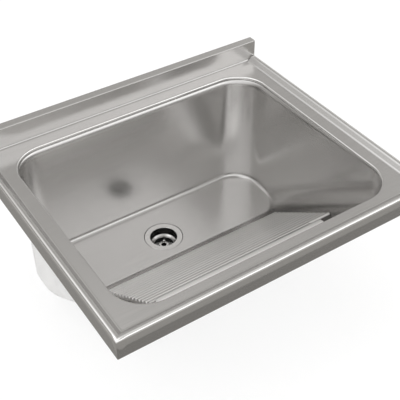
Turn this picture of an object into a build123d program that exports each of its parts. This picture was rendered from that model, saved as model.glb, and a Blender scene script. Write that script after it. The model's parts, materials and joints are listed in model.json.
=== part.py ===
from build123d import *
from math import atan, cos, degrees, hypot, radians, sin, sqrt, tan
import os

# Laundry sink of stainless sheet, made to sit on a cabinet against a wall. Millimetres, +Z up.
# The origin lies on the wall plane at the middle of the width, level with the top of the raised
# bead, and the user stands at the -Y side.

# Deck sheet
WIDTH = 600.0
DEPTH = 514.0
SHEET = 1.0
APRON_HEIGHT = 39.0
PAN_DROP = 9.0
BEAD_FLAT_END = 8.4
BEAD_OUTER_RADIUS = 3.0
BEAD_INNER_RADIUS = 7.0
BEAD_SLOPE_DEG = 45.0
HEM_HEIGHT = 8.0
UPSTAND_HEIGHT = 32.0
UPSTAND_THICKNESS = 18.0
UPSTAND_TOP_RADIUS = 2.0
UPSTAND_FOOT_RADIUS = 3.5

# Bowl, with the gaps that the deck leaves round its opening
BOWL_SIDE_GAP = 42.0
BOWL_FRONT_GAP = 37.0
BOWL_BACK_GAP = 47.0
BOWL_FLOOR_Z = -262.0
BOWL_CORNER_RADIUS = 62.0
BOWL_FLOOR_RADIUS = 48.0
RIM_RADIUS = 3.0
RIM_HEIGHT = 7.0

# Washboard slope, from under the front edge down to the floor in front of the drain
SLOPE_START_DROP = 42.7
SLOPE_DRAIN_GAP = 17.3
SLOPE_FOOT_RADIUS = 10.0

# Ribbed field, measured in the plane of the slope
FIELD_SIDE_GAP = 67.0
FIELD_TOP_GAP = 27.0
FIELD_FOOT_GAP = 73.7
FIELD_HEIGHT = 12.0
FIELD_CORNER_RADIUS = 40.0
FIELD_WALL_DEG = 30.0
FIELD_EDGE_RADIUS = 10.0
FIELD_EDGE_RISE = 1.5
FIELD_BITE = 2.0
RIB_PITCH = 14.6
RIB_DEPTH = 4.5
RIB_CREST_RADIUS = 4.7

# Waste
DRAIN_FROM_WALL = 136.0
RECESS_RADIUS = 40.5
RECESS_DEPTH = 4.5
DRAIN_HOLE_RADIUS = 31.0
FLANGE_RADIUS = 39.5
FLANGE_SINK = 0.3
FLANGE_GASKET_WIDTH = 4.5
FLANGE_GASKET_THICKNESS = 1.0
CUP_SHEET = 1.2
CUP_RADIUS = 26.8
CUP_RIM_WIDTH = 2.5
CUP_LIP_DROP = 3.5
CUP_WALL_END_DROP = 18.0
CUP_FLOOR_DROP = 21.7
GRID_RADIUS = 22.0
GRID_THICKNESS = 1.5
SPOKE_COUNT = 3
SPOKE_WIDTH = 5.0
SPOKE_TURN_DEG = 56.3
BOSS_RADIUS = 10.8
BOSS_HEIGHT = 13.0
BOSS_HOLE_RADIUS = 5.05
BOSS_FLOOR = 2.0
BODY_GASKET_THICKNESS = 2.0
BODY_FLANGE_WIDTH = 7.0
BODY_FLANGE_THICKNESS = 4.0
BODY_WALL = 3.0
BODY_CUP_GAP = 2.0
BODY_CUP_DEPTH = 36.0
OUTLET_RADIUS = 23.9
OUTLET_BORE_RADIUS = 19.8
OUTLET_LENGTH = 34.0
BRIDGE_WIDTH = 4.0
BRIDGE_HEIGHT = 12.0
HUB_RADIUS = 8.5
INSERT_RADIUS = 5.5
SCREW_RADIUS = 2.95
SCREW_HEAD_RADIUS = 4.7
SCREW_HEAD_HEIGHT = 4.0
SOCKET_RADIUS = 2.4
SOCKET_DEPTH = 2.5

# Stiffening frame under the deck
RAIL_SHEET = 1.5
RAIL_BEND_RADIUS = 2.5
RAIL_WEB_INSET = 20.5
RAIL_TOP_FLANGE = 11.5
RAIL_LIP_INSET = 3.0
REAR_WEB_INSET = 24.0
RAIL_END_GAP = 0.3
PLATE_SHEET = 1.5
PLATE_LEG = 55.0
PLATE_TAB_HEIGHT = 20.0
PLATE_TAB_LENGTH = 34.0
PLATE_TAB_START = 12.0
PLATE_HOLE_RADIUS = 3.0
PLATE_HOLE_INSET = 17.0
RIVET_RADIUS = 1.6
RIVET_HEAD_RADIUS = 3.2
RIVET_HEAD_HEIGHT = 1.1
RIVET_CLEARANCE = 0.1

# Damping pads and earthing point
PAD_THICKNESS = 2.0
PAD_LENGTH = 120.0
PAD_WIDTH = 78.0
PAD_CORNER_RADIUS = 8.0
PAD_DRAIN_GAP = 16.0
TAG_SHEET = 1.5
TAG_WIDTH = 12.0
TAG_FOOT = 9.0
TAG_DROP = 20.0
TAG_BEND_RADIUS = 2.5
TAG_SIDE_INSET = 50.0
TAG_BACK_INSET = 50.0
EARTH_SCREW_RADIUS = 2.0
EARTH_SCREW_LENGTH = 12.0
EARTH_HEAD_RADIUS = 3.6
EARTH_HEAD_HEIGHT = 2.6
EARTH_WASHER_RADIUS = 4.5
EARTH_WASHER_THICKNESS = 1.0
EARTH_NUT_FLATS = 7.0
EARTH_NUT_HEIGHT = 3.2
EARTH_HOLE_CLEARANCE = 0.2

# Clearances between pieces that pass through or sit inside one another
FIT = 0.3
THREAD_FIT = 0.05

# Places worked out from the sizes above
PAN_Z = -PAN_DROP
DECK_UNDER_Z = PAN_Z - SHEET
APRON_Z = -APRON_HEIGHT
RIM_Z = PAN_Z - RIM_HEIGHT
BOWL_BACK_Y = -BOWL_BACK_GAP
BOWL_FRONT_Y = BOWL_FRONT_GAP - DEPTH
BOWL_WIDTH = WIDTH - 2 * BOWL_SIDE_GAP
BOWL_LENGTH = BOWL_BACK_Y - BOWL_FRONT_Y
DRAIN_Y = -DRAIN_FROM_WALL
SLOPE_START_Z = PAN_Z - SLOPE_START_DROP
SLOPE_FOOT_Y = DRAIN_Y - RECESS_RADIUS - SLOPE_DRAIN_GAP
SLOPE_RUN = SLOPE_FOOT_Y - BOWL_FRONT_Y
SLOPE_FALL = SLOPE_START_Z - BOWL_FLOOR_Z
SLOPE = atan(SLOPE_FALL / SLOPE_RUN)
FIELD_WIDTH = BOWL_WIDTH - 2 * FIELD_SIDE_GAP
FIELD_LENGTH = hypot(SLOPE_RUN, SLOPE_FALL) - FIELD_TOP_GAP - FIELD_FOOT_GAP
RECESS_Z = BOWL_FLOOR_Z - RECESS_DEPTH
FLANGE_Z = BOWL_FLOOR_Z - FLANGE_SINK
BOWL_UNDER_Z = RECESS_Z - SHEET
BODY_TOP_Z = BOWL_UNDER_Z - BODY_GASKET_THICKNESS
BODY_FLANGE_RADIUS = DRAIN_HOLE_RADIUS + BODY_FLANGE_WIDTH
GRID_Z = FLANGE_Z - CUP_FLOOR_DROP
BOSS_SEAT_Z = GRID_Z - BOSS_HEIGHT + BOSS_FLOOR
OUTLET_TOP_Z = BODY_TOP_Z - BODY_CUP_DEPTH
OUTLET_Z = OUTLET_TOP_Z - OUTLET_LENGTH
HIGH = 400.0


def block(x0, x1, y0, y1, z0, z1):
    """Box between two opposite corners."""
    return Pos(x0, y0, z0) * Box(x1 - x0, y1 - y0, z1 - z0, align=(Align.MIN,) * 3)


def rod(radius, z0, z1, x=0.0, y=0.0):
    """Upright cylinder between two heights."""
    return Pos(x, y, z0) * Cylinder(radius, z1 - z0, align=(Align.CENTER, Align.CENTER, Align.MIN))


def rounded_prism(grow, z0, z1):
    """Upright prism on the bowl's plan outline, larger all round by grow."""
    middle = (BOWL_BACK_Y + BOWL_FRONT_Y) / 2
    outline = RectangleRounded(
        BOWL_WIDTH + 2 * grow, BOWL_LENGTH + 2 * grow, BOWL_CORNER_RADIUS + grow
    )
    return extrude(Pos(0, middle, z0) * outline, z1 - z0)


def side_face(line):
    """Closed face in the YZ plane from a line drawn as (y, z)."""
    return Plane.YZ * make_face(line)


def ribbon(points, radii, thickness):
    """Section of a folded sheet: the drawn line and a parallel one on its left, joined at both ends.

    radii are the bends of the drawn line, 0 for a sharp fold. A negative thickness puts the sheet on
    the right.
    """
    drawn = [Vector(*point) for point in points]
    ways = [(b - a).normalized() for a, b in zip(drawn, drawn[1:])]
    sides = [Vector(-way.Y, way.X) for way in ways]
    far = [drawn[0] + sides[0] * thickness]
    far_radii = []
    for i, radius in enumerate(radii):
        mitre = sides[i] + sides[i + 1]
        far.append(drawn[i + 1] + mitre * (2 * thickness / mitre.length**2))
        turns_left = ways[i].X * ways[i + 1].Y > ways[i].Y * ways[i + 1].X
        far_radius = radius - thickness if turns_left else radius + thickness
        far_radii.append(far_radius if radius else 0)
    far.append(drawn[-1] + sides[-1] * thickness)
    near_line = FilletPolyline(*drawn, radius=radii)
    far_line = FilletPolyline(*far, radius=far_radii)
    ends = [Line(near_line @ 0, far_line @ 0), Line(near_line @ 1, far_line @ 1)]
    return make_face(Curve() + [near_line, far_line] + ends)


# Deck


def bead_outline(inset):
    """Section of the raised bead as (distance from the edge, height), moved inwards by inset."""
    slope = radians(BEAD_SLOPE_DEG)
    shift = inset * tan(slope / 2)
    crest = (BEAD_FLAT_END - shift, -inset)
    foot = (BEAD_FLAT_END + PAN_DROP / tan(slope) - shift, PAN_Z - inset)
    base_z = PAN_Z - BEAD_INNER_RADIUS
    line = FilletPolyline(
        (inset, base_z),
        (inset, -inset),
        crest,
        foot,
        (foot[0] + BEAD_INNER_RADIUS, foot[1]),
        radius=[
            BEAD_OUTER_RADIUS - inset,
            BEAD_INNER_RADIUS - inset,
            BEAD_INNER_RADIUS + inset,
        ],
    )
    end = line @ 1
    close = Polyline((end.X, end.Y), (end.X, base_z), (inset, base_z))
    return make_face(line + close)


def bead(inset):
    """Bead along the left, front and right edges, mitred at the two front corners."""
    half = WIDTH / 2
    back = -UPSTAND_THICKNESS / 2
    path = Polyline((-half, back), (-half, -DEPTH), (half, -DEPTH), (half, back))
    start = Plane(origin=(-half, back, 0), x_dir=(1, 0, 0), z_dir=(0, -1, 0))
    return sweep(start * bead_outline(inset), path=path, transition=Transition.RIGHT)


def upstand(inset):
    """Box-folded upstand along the back with the round bend at its foot."""
    front = -UPSTAND_THICKNESS + inset
    foot = UPSTAND_FOOT_RADIUS + inset
    pan = PAN_Z - inset
    line = FilletPolyline(
        (front - 2 * foot, pan),
        (front, pan),
        (front, UPSTAND_HEIGHT - inset),
        (-inset, UPSTAND_HEIGHT - inset),
        (-inset, pan - foot),
        radius=[foot, UPSTAND_TOP_RADIUS - inset, UPSTAND_TOP_RADIUS - inset],
    )
    close = Polyline(
        (-inset, pan - foot), (front - 2 * foot, pan - foot), (front - 2 * foot, pan)
    )
    return extrude(side_face(line + close), WIDTH / 2 - inset, both=True)


def deck_form(inset):
    """Outer form of the whole deck as one solid, smaller all round by inset."""
    half = WIDTH / 2 - inset
    slab = block(-half, half, inset - DEPTH, -inset, APRON_Z, PAN_Z - inset)
    return slab + bead(inset) + upstand(inset)


def hem():
    """Inner leaf of the folded hem along the bottom of the apron and the back."""
    outer = WIDTH / 2 - SHEET
    inner = outer - SHEET
    top = APRON_Z + HEM_HEIGHT
    ring = block(-outer, outer, SHEET - DEPTH, -SHEET, APRON_Z, top)
    gap = block(-inner, inner, 2 * SHEET - DEPTH, -2 * SHEET, APRON_Z, top)
    return ring - gap


def opening_edges(deck, z):
    """Edges of the bowl's opening at one height."""
    margin = 2 * SHEET
    level = deck.edges().filter_by(lambda e: abs(e.center().Z - z) < SHEET / 10)
    beside = level.filter_by(lambda e: abs(e.center().X) < BOWL_WIDTH / 2 + margin)
    return beside.filter_by(lambda e: BOWL_FRONT_Y - margin < e.center().Y < BOWL_BACK_Y + margin)


def rolled_rim(deck):
    """Rolled rim of the bowl opening: round outside the bend, with a flat cut tangent to it inside."""
    deck = deck + rounded_prism(SHEET, RIM_Z, DECK_UNDER_Z) - rounded_prism(0, -HIGH, HIGH)
    inner_cut = (RIM_RADIUS - SHEET) * (2 - sqrt(2))
    deck = chamfer(opening_edges(deck, DECK_UNDER_Z), inner_cut)
    return fillet(opening_edges(deck, PAN_Z), RIM_RADIUS)


def worktop_deck():
    return rolled_rim(deck_form(0) - deck_form(SHEET) + hem())


# Bowl


def slope_plane(drop):
    """Plane of the washboard slope: local X along the ribs, local Y up the slope."""
    normal = Vector(0, sin(SLOPE), cos(SLOPE))
    start = Vector(0, BOWL_FRONT_Y, SLOPE_START_Z) - normal * drop
    return Plane(origin=start, x_dir=(-1, 0, 0), z_dir=normal)


def basin(grow):
    """Bowl as a plain solid, larger all round by grow, with its floor and slope rounded."""
    floor_z = BOWL_FLOOR_Z - grow
    front = BOWL_FRONT_Y - grow
    back = BOWL_BACK_Y + grow
    top_of_slope = SLOPE_START_Z - grow * (1 / cos(SLOPE) - tan(SLOPE))
    foot = front + (top_of_slope - floor_z) / tan(SLOPE)
    line = Polyline(
        (front, RIM_Z),
        (front, top_of_slope),
        (foot, floor_z),
        (back, floor_z),
        (back, RIM_Z),
        close=True,
    )
    solid = extrude(side_face(line), BOWL_WIDTH / 2 + grow, both=True)
    crease = solid.edges().filter_by(Axis.X).sort_by_distance((0, foot, floor_z))[0]
    solid = fillet(crease, SLOPE_FOOT_RADIUS + grow)
    solid = solid & rounded_prism(grow, floor_z - grow, RIM_Z)
    upright = solid.faces().filter_by(lambda f: abs(f.normal_at().Z) < 0.01)
    sloped = solid.faces().filter_by(lambda f: f.normal_at().Z < -0.01)
    wall_edges = [hash(e) for f in upright for e in f.edges()]
    seam = ShapeList([e for f in sloped for e in f.edges() if hash(e) in wall_edges])
    return fillet(seam, BOWL_FLOOR_RADIUS + grow)


def rib_wave(sink):
    """Section of the ribs as (distance up the slope, height), with both arcs moved in by sink."""
    half_pitch = RIB_PITCH / 2
    lean = 2 * degrees(atan(RIB_DEPTH / half_pitch))
    crest = RIB_CREST_RADIUS - sink
    valley = half_pitch / sin(radians(lean)) - RIB_CREST_RADIUS + sink
    count = int(FIELD_LENGTH / RIB_PITCH) + 1
    end = count * half_pitch
    low = FIELD_HEIGHT - RIB_DEPTH
    point = Vector(-end, low)
    heading = Vector(1, 0)
    turns = [(valley, lean)] + [(crest, -2 * lean), (valley, 2 * lean)] * count
    turns[-1] = (valley, lean)
    wave = []
    for radius, turn in turns:
        arc = JernArc(point, heading, radius, turn)
        wave.append(arc)
        point = arc @ 1
        heading = arc % 1
    base = Polyline(point, (end, -FIELD_HEIGHT), (-end, -FIELD_HEIGHT), (-end, low))
    return make_face(Curve() + wave + base)


def washboard_field(sink):
    """Raised field of the washboard with its ribs, moved inwards by sink on its back."""
    lean = radians(FIELD_WALL_DEG)
    middle = -FIELD_TOP_GAP - FIELD_LENGTH / 2
    slope = slope_plane(sink)
    grow = FIELD_BITE * tan(lean) - sink * (1 / cos(lean) - tan(lean))
    outline = RectangleRounded(
        FIELD_WIDTH + 2 * grow, FIELD_LENGTH + 2 * grow, FIELD_CORNER_RADIUS + grow
    )
    height = FIELD_HEIGHT + FIELD_EDGE_RISE + FIELD_BITE
    mound = extrude(slope * Pos(0, middle, -FIELD_BITE) * outline, height, taper=FIELD_WALL_DEG)
    top = mound.faces().sort_by(Axis(slope.origin, slope.z_dir))[-1]
    mound = fillet(top.edges(), FIELD_EDGE_RADIUS - sink)
    across = Plane(origin=slope.origin + slope.y_dir * middle, x_dir=slope.y_dir, z_dir=slope.x_dir)
    return mound & extrude(across * rib_wave(sink), FIELD_WIDTH / 2 + FIELD_HEIGHT, both=True)


def drain_recess(grow):
    """Round recess of the bowl floor that the waste flange lies in."""
    return rod(RECESS_RADIUS + grow, RECESS_Z - grow, BOWL_FLOOR_Z + SHEET, 0, DRAIN_Y)


def wash_bowl():
    inside = basin(0) - washboard_field(0) + drain_recess(0)
    outside = basin(SHEET) - washboard_field(SHEET) + drain_recess(SHEET)
    return outside - inside - rod(DRAIN_HOLE_RADIUS, -HIGH, 0, 0, DRAIN_Y)


# Waste


def turned(face):
    """Solid turned about the drain's axis from a face drawn as (radius, height)."""
    return Pos(0, DRAIN_Y, 0) * revolve(Plane.XZ * face, Axis.Z)


def ring(inner, outer, z0, z1):
    """Flat ring or tube on the drain's axis."""
    return rod(outer, z0, z1, 0, DRAIN_Y) - rod(inner, z0, z1, 0, DRAIN_Y)


def arms(count, width, inner, outer, z0, z1):
    """Radial arms between two radii on the drain's axis."""
    arm = block(inner, outer, -width / 2, width / 2, z0, z1)
    spread = [Rot(0, 0, SPOKE_TURN_DEG + i * 360 / count) * arm for i in range(count)]
    return Pos(0, DRAIN_Y, 0) * (Part() + spread)


def strainer_cup():
    throat = FLANGE_Z - CUP_LIP_DROP
    shell = ribbon(
        [
            (FLANGE_RADIUS, RECESS_Z + FLANGE_GASKET_THICKNESS),
            (FLANGE_RADIUS, FLANGE_Z),
            (FLANGE_RADIUS - CUP_RIM_WIDTH, FLANGE_Z),
            (CUP_RADIUS, throat),
            (CUP_RADIUS, FLANGE_Z - CUP_WALL_END_DROP),
            (GRID_RADIUS, GRID_Z),
        ],
        [0, 0, 0, 0],
        CUP_SHEET,
    )
    under = GRID_Z - GRID_THICKNESS
    cup = turned(shell) + ring(GRID_RADIUS - CUP_SHEET, GRID_RADIUS + CUP_SHEET / 2, under, GRID_Z)
    cup += arms(SPOKE_COUNT, SPOKE_WIDTH, BOSS_HOLE_RADIUS + CUP_SHEET, GRID_RADIUS, under, GRID_Z)
    cup += rod(BOSS_RADIUS, GRID_Z - BOSS_HEIGHT, GRID_Z, 0, DRAIN_Y)
    cup -= rod(BOSS_HOLE_RADIUS, BOSS_SEAT_Z, GRID_Z, 0, DRAIN_Y)
    return cup - rod(SCREW_RADIUS + FIT, -HIGH, 0, 0, DRAIN_Y)


def flange_gasket():
    return ring(
        FLANGE_RADIUS - FLANGE_GASKET_WIDTH, FLANGE_RADIUS, RECESS_Z, RECESS_Z + FLANGE_GASKET_THICKNESS
    )


def body_gasket():
    return ring(DRAIN_HOLE_RADIUS, BODY_FLANGE_RADIUS, BODY_TOP_Z, BOWL_UNDER_Z)


def waste_body():
    bore = CUP_RADIUS + CUP_SHEET + BODY_CUP_GAP
    collar_z = BODY_TOP_Z - BODY_FLANGE_THICKNESS
    shoulder_z = OUTLET_TOP_Z - BODY_WALL
    section = Polyline(
        (BODY_FLANGE_RADIUS, BODY_TOP_Z),
        (BODY_FLANGE_RADIUS, collar_z),
        (bore + BODY_WALL, collar_z),
        (bore + BODY_WALL, shoulder_z),
        (OUTLET_RADIUS, shoulder_z),
        (OUTLET_RADIUS, OUTLET_Z),
        (OUTLET_BORE_RADIUS, OUTLET_Z),
        (OUTLET_BORE_RADIUS, OUTLET_TOP_Z),
        (bore, OUTLET_TOP_Z),
        (bore, BODY_TOP_Z),
        close=True,
    )
    low = OUTLET_TOP_Z - BRIDGE_HEIGHT
    reach = OUTLET_BORE_RADIUS + BODY_WALL / 2
    body = turned(make_face(section))
    body += arms(SPOKE_COUNT, BRIDGE_WIDTH, 0, reach, low, OUTLET_TOP_Z)
    body += rod(HUB_RADIUS, low, OUTLET_TOP_Z, 0, DRAIN_Y)
    return body - rod(INSERT_RADIUS, low, OUTLET_TOP_Z, 0, DRAIN_Y)


def thread_insert():
    low = OUTLET_TOP_Z - BRIDGE_HEIGHT
    return ring(SCREW_RADIUS + THREAD_FIT, INSERT_RADIUS, low, OUTLET_TOP_Z)


def clamp_screw():
    head_top = BOSS_SEAT_Z + SCREW_HEAD_HEIGHT
    screw = rod(SCREW_HEAD_RADIUS, BOSS_SEAT_Z, head_top, 0, DRAIN_Y)
    screw += rod(SCREW_RADIUS, OUTLET_TOP_Z - BRIDGE_HEIGHT, BOSS_SEAT_Z, 0, DRAIN_Y)
    socket = Pos(0, DRAIN_Y, head_top - SOCKET_DEPTH) * RegularPolygon(SOCKET_RADIUS, 6)
    return screw - extrude(socket, SOCKET_DEPTH)


# Stiffening frame


def rail(span, notch=0.0):
    """Z-shaped rail along local Y; local X is the distance in from the edge of the deck.

    A notch cuts the top of the rail back at both ends, to clear the rails that it butts against.
    """
    web = RAIL_WEB_INSET + RAIL_SHEET
    under_top = DECK_UNDER_Z - RAIL_SHEET
    folds = [
        (RAIL_LIP_INSET, APRON_Z),
        (web, APRON_Z),
        (web, under_top),
        (web + RAIL_TOP_FLANGE, under_top),
    ]
    section = ribbon(folds, [RAIL_BEND_RADIUS, RAIL_BEND_RADIUS - RAIL_SHEET], RAIL_SHEET)
    bar = extrude(Plane.XZ * section, span / 2, both=True)
    if notch:
        keep = span / 2 - notch
        tip = web + RAIL_TOP_FLANGE + FIT
        low = under_top - RAIL_BEND_RADIUS + RAIL_SHEET
        bar -= block(0, tip, keep, span / 2, low, DECK_UNDER_Z)
        bar -= block(0, tip, -span / 2, -keep, low, DECK_UNDER_Z)
    return bar


def plate_corners():
    """Inner corners of the rail frame as (name, x, y, turn in degrees)."""
    x = WIDTH / 2 - RAIL_WEB_INSET - RAIL_SHEET
    front = RAIL_WEB_INSET + RAIL_SHEET - DEPTH
    rear = -REAR_WEB_INSET - RAIL_SHEET
    return [
        ("front_left", -x, front, 0),
        ("front_right", x, front, 90),
        ("rear_right", x, rear, 180),
        ("rear_left", -x, rear, 270),
    ]


def rivet_places():
    """Places of all rivets, with local Y along each rivet and its head on the tab's side."""
    along = PLATE_TAB_START + PLATE_TAB_LENGTH / 2
    z = APRON_Z + PLATE_TAB_HEIGHT / 2 + PLATE_SHEET
    spots = [Pos(along, 0, z), Pos(0, along, z) * Rot(0, 0, -90) * Rot(0, 180, 0)]
    corners = [Pos(x, y, 0) * Rot(0, 0, turn) for _, x, y, turn in plate_corners()]
    return [corner * spot for corner in corners for spot in spots]


def cross_rod(radius, y0, y1):
    """Rod along local Y."""
    upright = Cylinder(radius, y1 - y0, align=(Align.CENTER, Align.CENTER, Align.MIN))
    return Pos(0, y0, 0) * Rot(-90, 0, 0) * upright


def rivet_holes():
    """Cutters for the rivets of all corners, through tabs and rail webs."""
    hole = cross_rod(RIVET_RADIUS + RIVET_CLEARANCE, -2 * RAIL_SHEET, 2 * PLATE_SHEET)
    return [place * hole for place in rivet_places()]


def bracket_rivets():
    head = RIVET_HEAD_HEIGHT
    one = cross_rod(RIVET_RADIUS, -RAIL_SHEET, PLATE_SHEET)
    one += cross_rod(RIVET_HEAD_RADIUS, PLATE_SHEET, PLATE_SHEET + head)
    one += cross_rod(RIVET_HEAD_RADIUS, -RAIL_SHEET - head, -RAIL_SHEET)
    return Compound(children=[place * one for place in rivet_places()])


def corner_bracket(x, y, turn):
    """Corner plate with two tabs riveted to the rails and one hole for a cabinet screw."""
    nose = PLATE_TAB_START
    outline = Polyline(
        (0, 0), (PLATE_LEG, 0), (PLATE_LEG, nose), (nose, PLATE_LEG), (0, PLATE_LEG), close=True
    )
    plate = extrude(Pos(0, 0, APRON_Z) * make_face(outline), PLATE_SHEET)
    tab_end = PLATE_TAB_START + PLATE_TAB_LENGTH
    tab_top = APRON_Z + PLATE_SHEET + PLATE_TAB_HEIGHT
    plate += block(PLATE_TAB_START, tab_end, 0, PLATE_SHEET, APRON_Z, tab_top)
    plate += block(0, PLATE_SHEET, PLATE_TAB_START, tab_end, APRON_Z, tab_top)
    plate -= rod(PLATE_HOLE_RADIUS, -HIGH, 0, PLATE_HOLE_INSET, PLATE_HOLE_INSET)
    return Pos(x, y, 0) * Rot(0, 0, turn) * plate - rivet_holes()


def frame_parts():
    """Rails and corner plates by name."""
    side_span = DEPTH - 2 * RAIL_LIP_INSET
    cross_span = WIDTH - 2 * (RAIL_WEB_INSET + RAIL_SHEET + RAIL_END_GAP)
    side = rail(side_span)
    cross = rail(cross_span, notch=RAIL_TOP_FLANGE)
    holes = rivet_holes()
    rear_edge = RAIL_WEB_INSET - REAR_WEB_INSET
    parts = {
        "left_rail": Pos(-WIDTH / 2, -DEPTH / 2, 0) * side - holes,
        "right_rail": Pos(WIDTH / 2, -DEPTH / 2, 0) * Rot(0, 0, 180) * side - holes,
        "front_rail": Pos(0, -DEPTH, 0) * Rot(0, 0, 90) * cross - holes,
        "rear_rail": Pos(0, rear_edge, 0) * Rot(0, 0, -90) * cross - holes,
    }
    for name, x, y, turn in plate_corners():
        parts[f"corner_bracket_{name}"] = corner_bracket(x, y, turn)
    parts["bracket_rivets"] = bracket_rivets()
    return parts


# Damping pads and earthing point


def damping_pad(side):
    """Sound-damping pad under the bowl floor, left (-1) or right (1) of the drain."""
    x = side * (RECESS_RADIUS + PAD_DRAIN_GAP + PAD_LENGTH / 2)
    y = (SLOPE_FOOT_Y + BOWL_BACK_Y - BOWL_FLOOR_RADIUS) / 2
    z = BOWL_FLOOR_Z - SHEET - PAD_THICKNESS
    outline = RectangleRounded(PAD_LENGTH, PAD_WIDTH, PAD_CORNER_RADIUS)
    return extrude(Pos(x, y, z) * outline, PAD_THICKNESS)


def earth_place():
    """Middle of the earthing tag's leg, with local Y along the screw."""
    z = DECK_UNDER_Z - TAG_DROP + TAG_WIDTH / 2
    return Pos(WIDTH / 2 - TAG_SIDE_INSET, -TAG_BACK_INSET, z)


def earthing_tag():
    folds = [(0, DECK_UNDER_Z - TAG_DROP), (0, DECK_UNDER_Z), (TAG_FOOT, DECK_UNDER_Z)]
    section = Plane.YZ * ribbon(folds, [TAG_BEND_RADIUS], -TAG_SHEET)
    tag = Pos(WIDTH / 2 - TAG_SIDE_INSET, -TAG_BACK_INSET, 0)
    tag *= extrude(section, TAG_WIDTH / 2, both=True)
    hole = cross_rod(EARTH_SCREW_RADIUS + EARTH_HOLE_CLEARANCE, -TAG_FOOT, TAG_FOOT)
    return tag - earth_place() * hole


def earthing_parts():
    """Tag, screw, washer and nut of the bonding point, clamped on both faces of the tag's leg."""
    back = TAG_SHEET + EARTH_WASHER_THICKNESS
    washer = cross_rod(EARTH_WASHER_RADIUS, TAG_SHEET, back)
    washer -= cross_rod(EARTH_SCREW_RADIUS + EARTH_HOLE_CLEARANCE, 0, back)
    hexagon = Plane.XZ * RegularPolygon(EARTH_NUT_FLATS / 2, 6, major_radius=False)
    nut = Pos(0, back, 0) * extrude(hexagon, -EARTH_NUT_HEIGHT)
    nut -= cross_rod(EARTH_SCREW_RADIUS + THREAD_FIT, 0, back + EARTH_NUT_HEIGHT)
    screw = cross_rod(EARTH_SCREW_RADIUS, 0, EARTH_SCREW_LENGTH)
    screw += cross_rod(EARTH_HEAD_RADIUS, -EARTH_HEAD_HEIGHT, 0)
    return {
        "earthing_tag": earthing_tag(),
        "earthing_screw": earth_place() * screw,
        "earthing_washer": earth_place() * washer,
        "earthing_nut": earth_place() * nut,
    }


def main():
    os.makedirs("parts", exist_ok=True)
    parts = {
        "worktop_deck": worktop_deck(),
        "wash_bowl": wash_bowl(),
        "strainer_cup": strainer_cup(),
        "flange_gasket": flange_gasket(),
        "body_gasket": body_gasket(),
        "waste_body": waste_body(),
        "thread_insert": thread_insert(),
        "clamp_screw": clamp_screw(),
        "damping_pad_left": damping_pad(-1),
        "damping_pad_right": damping_pad(1),
    }
    parts.update(frame_parts())
    parts.update(earthing_parts())
    for name, part in parts.items():
        export_step(part, f"parts/{name}.step")


main()
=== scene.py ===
# %% [markdown]
# # Laundry sink of stainless sheet
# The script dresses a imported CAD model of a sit-on laundry sink. Deck, bowl and strainer get fine
# surfaces computed from their real sizes, every other piece keeps its CAD mesh, and all of them get
# materials made of nodes. It is run inside Blender, and one object after another is explained.

# %% The frame
import json

import bmesh
import bpy
import numpy as np
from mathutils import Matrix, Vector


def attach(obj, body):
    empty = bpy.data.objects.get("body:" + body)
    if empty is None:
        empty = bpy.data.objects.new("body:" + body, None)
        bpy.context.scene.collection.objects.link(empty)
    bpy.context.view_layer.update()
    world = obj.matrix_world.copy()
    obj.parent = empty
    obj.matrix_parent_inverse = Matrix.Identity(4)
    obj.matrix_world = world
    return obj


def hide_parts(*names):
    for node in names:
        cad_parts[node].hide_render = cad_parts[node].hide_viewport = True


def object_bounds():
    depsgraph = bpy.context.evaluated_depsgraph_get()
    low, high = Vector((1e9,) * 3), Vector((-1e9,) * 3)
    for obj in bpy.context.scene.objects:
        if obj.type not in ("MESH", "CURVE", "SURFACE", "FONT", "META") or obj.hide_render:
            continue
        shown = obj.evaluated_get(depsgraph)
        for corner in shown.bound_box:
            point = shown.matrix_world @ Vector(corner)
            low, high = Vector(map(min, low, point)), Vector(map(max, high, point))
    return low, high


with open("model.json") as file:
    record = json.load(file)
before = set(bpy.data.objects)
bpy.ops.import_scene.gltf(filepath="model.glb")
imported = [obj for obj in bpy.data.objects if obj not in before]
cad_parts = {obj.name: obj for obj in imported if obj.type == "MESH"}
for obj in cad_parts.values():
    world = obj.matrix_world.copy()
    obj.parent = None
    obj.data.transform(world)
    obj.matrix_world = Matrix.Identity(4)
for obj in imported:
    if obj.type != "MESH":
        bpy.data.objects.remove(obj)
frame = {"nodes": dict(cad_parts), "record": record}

cad_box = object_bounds()
print("CAD nodes:", len(frame["nodes"]), "box:", cad_box)

# %% [markdown]
# ## Sizes
# All lengths are in millimetres and are turned into metres when a mesh is made. The origin lies on
# the wall plane at the middle of the width, level with the top of the raised bead. The user stands
# at the -Y side. The pan lies 9 mm below the bead, and everything below it is measured from there.

# %% Sizes
MM = 0.001
HALF_WIDTH, DEPTH = 300.0, 514.0
PAN_Z, APRON_Z = -9.0, -39.0
UPSTAND_Z, UPSTAND_Y = 32.0, -18.0
OPENING_X, OPENING_FRONT, OPENING_BACK = 258.0, -477.0, -47.0
CORNER_RADIUS, RIM_RADIUS, RIM_Z = 62.0, 3.0, -16.0
FLOOR_Z, FLOOR_RADIUS, SLOPE_RADIUS, CREASE = -262.0, 10.0, 48.0, 1.8
SLOPE_TOP_Z, SLOPE_FOOT_Y = -51.7, -193.8
SLOPE = np.arctan2(SLOPE_TOP_Z - FLOOR_Z, SLOPE_FOOT_Y - OPENING_FRONT)
FIELD_HALF_WIDTH, FIELD_TOP, FIELD_END, FIELD_CORNER = 191.0, 42.0, 278.0, 5.0
NOTCH_X, NOTCH_END = 142.0, 90.0
FIELD_HEIGHT, FIELD_EDGE_RADIUS, FIELD_WALL = 12.0, 1.6, np.radians(84)
RIB_PITCH, RIB_DEPTH, VALLEY_WIDTH = 14.6, 4.5, 6.4
DRAIN_Y, RECESS_RADIUS, RECESS_DEPTH, DRAIN_HOLE = -136.0, 38.7, 4.5, 31.0
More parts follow.
